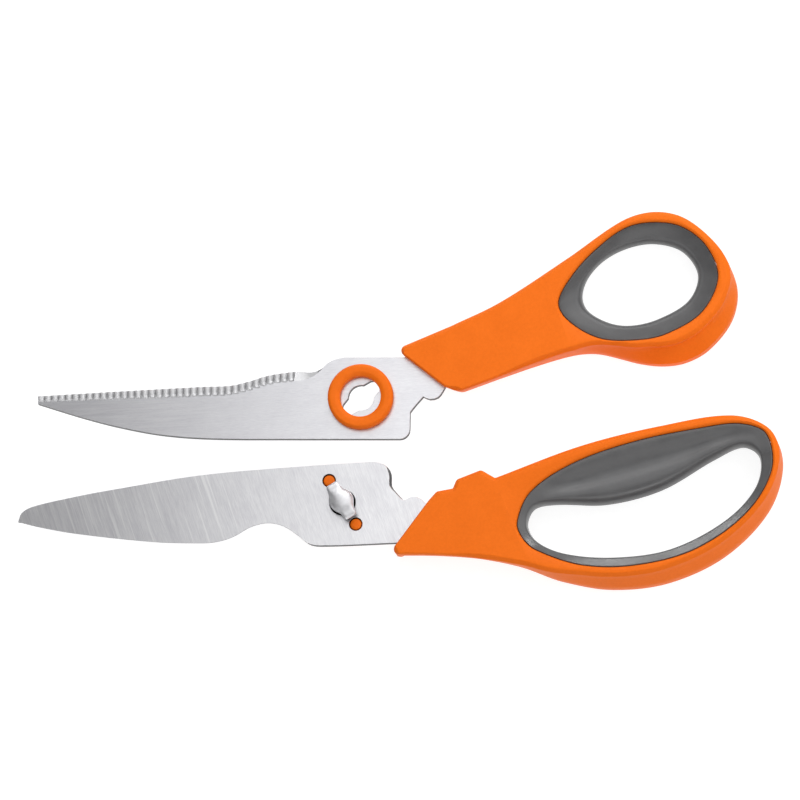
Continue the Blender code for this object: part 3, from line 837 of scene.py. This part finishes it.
def make_grip(name, pocket, hole, lining, profile, offset, body, node):
    """Soft lining: profile(share, width) gives the visible face's height across the band."""
    count = 220
    outer = even_outline(pocket, count)
    inner = even_outline(hole, count)
    gap = 0.12
    wall = [(0.4, 0.6), (0.9, 0.0), (4.5, 0.0), (8.0, 0.0), (10.5, 0.0), (RIM_FOOT - 0.5, 0.0),
            (RIM_FOOT - 0.1, 0.1), (RIM_FOOT, 0.3)]
    loops = [section(outer, z, inset + gap, lining) for z, inset in wall]
    rim = [Vector(spot[:2]) for spot in loops[-1]]
    mouth = [Vector(spot[:2]) for spot in section(inner, 0.0, 0.0)]
    steps = 20
    for step in range(1, steps + 1):
        share = step / steps
        loop = []
        for start, end in zip(rim, mouth):
            spot = start.lerp(end, share)
            loop.append((spot.x, spot.y, profile(share, (end - start).length)))
        loops.append(loop)
    for z, inset in ((4.4, -0.35), (2.8, -0.9), (1.3, -1.6), (0.4, -2.4)):
        loops.append(section(inner, z, inset))
    grip = loft(f"{name}_soft", loops, offset, rubber, ring=True, sharp=50)
    finish_piece(grip, node, body, 50)


def blend_between(low, high, share):
    """Smooth step from low to high as share goes from 0 to 1."""
    share = ramp(share, 0.0, 1.0)
    return low + (high - low) * share * share * (3 - 2 * share)


def knife_grip_profile(share, width):
    """A dished slope, then a full bulge on the broad upper pad; a flat bevel on the narrow band."""
    pad = blend_between(0.0, 1.0, ramp(width, 6.0, 15.0))
    if share < PAD_CREST:
        padded = blend_between(RIM_FOOT, PAD_LOW, share / PAD_DISH)
        padded += (PAD_HIGH - PAD_LOW) * blend_between(0.0, 1.0, ramp(share, PAD_DISH, PAD_CREST))
    else:
        over = ramp(share, PAD_CREST, 1.0)
        padded = 6.0 + (PAD_HIGH - 6.0) * math.sqrt(1 - over**2)
    over = ramp(share, 0.75, 1.0)
    narrow = RIM_FOOT - 1.25 * ramp(share, 0.0, 0.85) - 4.0 * (1 - math.sqrt(1 - over**2))
    return narrow * (1 - pad) + padded * pad


def serrated_grip_profile(share, width):
    """Dished slope that rolls over into the thumb opening."""
    over = ramp(share, 0.72, 1.0)
    return RIM_FOOT - 3.4 * ramp(share, 0.0, 0.72)**0.8 - 3.4 * (1 - math.sqrt(1 - over**2))


make_knife_blade()
make_stud()
make_cap()
make_serrated_blade()
make_ring()
knife_handle = make_handle("knife_handle", KNIFE_HANDLE, KNIFE_POCKET, knife_flank, knife_lining,
                           KNIFE_BLADE, KNIFE_Z, STUD_AXIS)
finish_piece(knife_handle, "knife_handle", "knife_half", 40)
make_grip("knife_grip", KNIFE_POCKET, FINGER_HOLE, knife_lining, knife_grip_profile, STUD_AXIS,
          "knife_half", "knife_grip")
serrated_handle = make_handle("serrated_handle", SERRATED_HANDLE, SERRATED_POCKET,
                              serrated_flank, None, SERRATED_BLADE, SERRATED_Z, KEYHOLE_AXIS)
finish_piece(serrated_handle, "serrated_handle", "serrated_half", 40)
make_grip("serrated_grip", SERRATED_POCKET, THUMB_HOLE, None, serrated_grip_profile,
          KEYHOLE_AXIS, "serrated_half", "serrated_grip")

colour_washer()

# ---- stage, light and camera -----------------------------------------------------------------

VIEW_CENTRE = Vector((0.01895, 0.03457, 0.007))
VIEW_DIRECTION = Vector((0.11, -0.20, 1.0)).normalized()
VIEW_DISTANCE = 5.0
VIEW_WIDTH = 0.267
MIDDLE = (0.05, 0.02, 0.0)
LIGHTS = (                  # name, place, target, size and power
    ("softbox", (0.26, 0.15, 0.42), (0.26, 0.15, 0.0), (0.70, 0.60), 1.50),
    ("key_right", (0.95, 0.10, 0.45), MIDDLE, (0.5, 0.4), 1.0),
    ("back", (0.20, 1.00, 0.62), MIDDLE, (1.3, 0.9), 2.9),
    ("back_strip", (0.05, 0.95, 0.70), MIDDLE, (1.6, 0.06), 5.0),
    ("front_strip", (0.25, -0.95, 0.60), MIDDLE, (1.3, 0.07), 3.2),
)


def make_stage():
    """Pale table that glows faintly, as a light table does, so that shadows stay soft."""
    bpy.ops.mesh.primitive_plane_add(size=6.0, location=(0.0, 0.0, -0.0004))
    floor = bpy.context.object
    floor.name = "floor"
    shader = Shader("pale_floor")
    speckle = shader.noise(shader.place, 300.0, 2.0, 0.5)
    shader.set(Base_Color=shader.colours(speckle, (0.4, (0.29, 0.29, 0.29)),
                                         (0.6, (0.31, 0.31, 0.31))),
               Roughness=0.9, Specular_IOR_Level=0.1, Emission_Color=(1.0, 1.0, 1.0, 1.0),
               Emission_Strength=0.86)
    floor.data.materials.append(shader.material)


def make_area_light(name, place, target, size, power):
    """Rectangular lamp at place, facing target and hidden from the camera."""
    data = bpy.data.lights.new(name, 'AREA')
    data.shape = 'RECTANGLE'
    data.size, data.size_y = size
    data.energy = power
    light = bpy.data.objects.new(name, data)
    light.location = place
    light.visible_camera = False
    light.rotation_euler = (Vector(target) - Vector(place)).to_track_quat('-Z', 'Y').to_euler()
    bpy.context.scene.collection.objects.link(light)


def make_world():
    """Even pale surroundings."""
    world = bpy.data.worlds.new("studio")
    world.use_nodes = True
    background = world.node_tree.nodes["Background"]
    background.inputs["Color"].default_value = (1.0, 1.0, 1.0, 1.0)
    background.inputs["Strength"].default_value = 0.25
    bpy.context.scene.world = world


def make_camera():
    """Long lens at the photograph's angle."""
    data = bpy.data.cameras.new("camera")
    data.sensor_width = 36.0
    data.lens = 36.0 * VIEW_DISTANCE / VIEW_WIDTH
    data.clip_end = 20.0
    camera = bpy.data.objects.new("camera", data)
    turn = Vector((0.0, 0.0, 1.0)).rotation_difference(VIEW_DIRECTION).to_matrix().to_4x4()
    camera.matrix_world = Matrix.Translation(VIEW_CENTRE + VIEW_DIRECTION * VIEW_DISTANCE) @ turn
    bpy.context.scene.collection.objects.link(camera)
    bpy.context.scene.camera = camera


make_stage()
make_world()
for light in LIGHTS:
    make_area_light(*light)
make_camera()
bpy.context.scene.view_settings.view_transform = 'Standard'

bpy.context.view_layer.update()
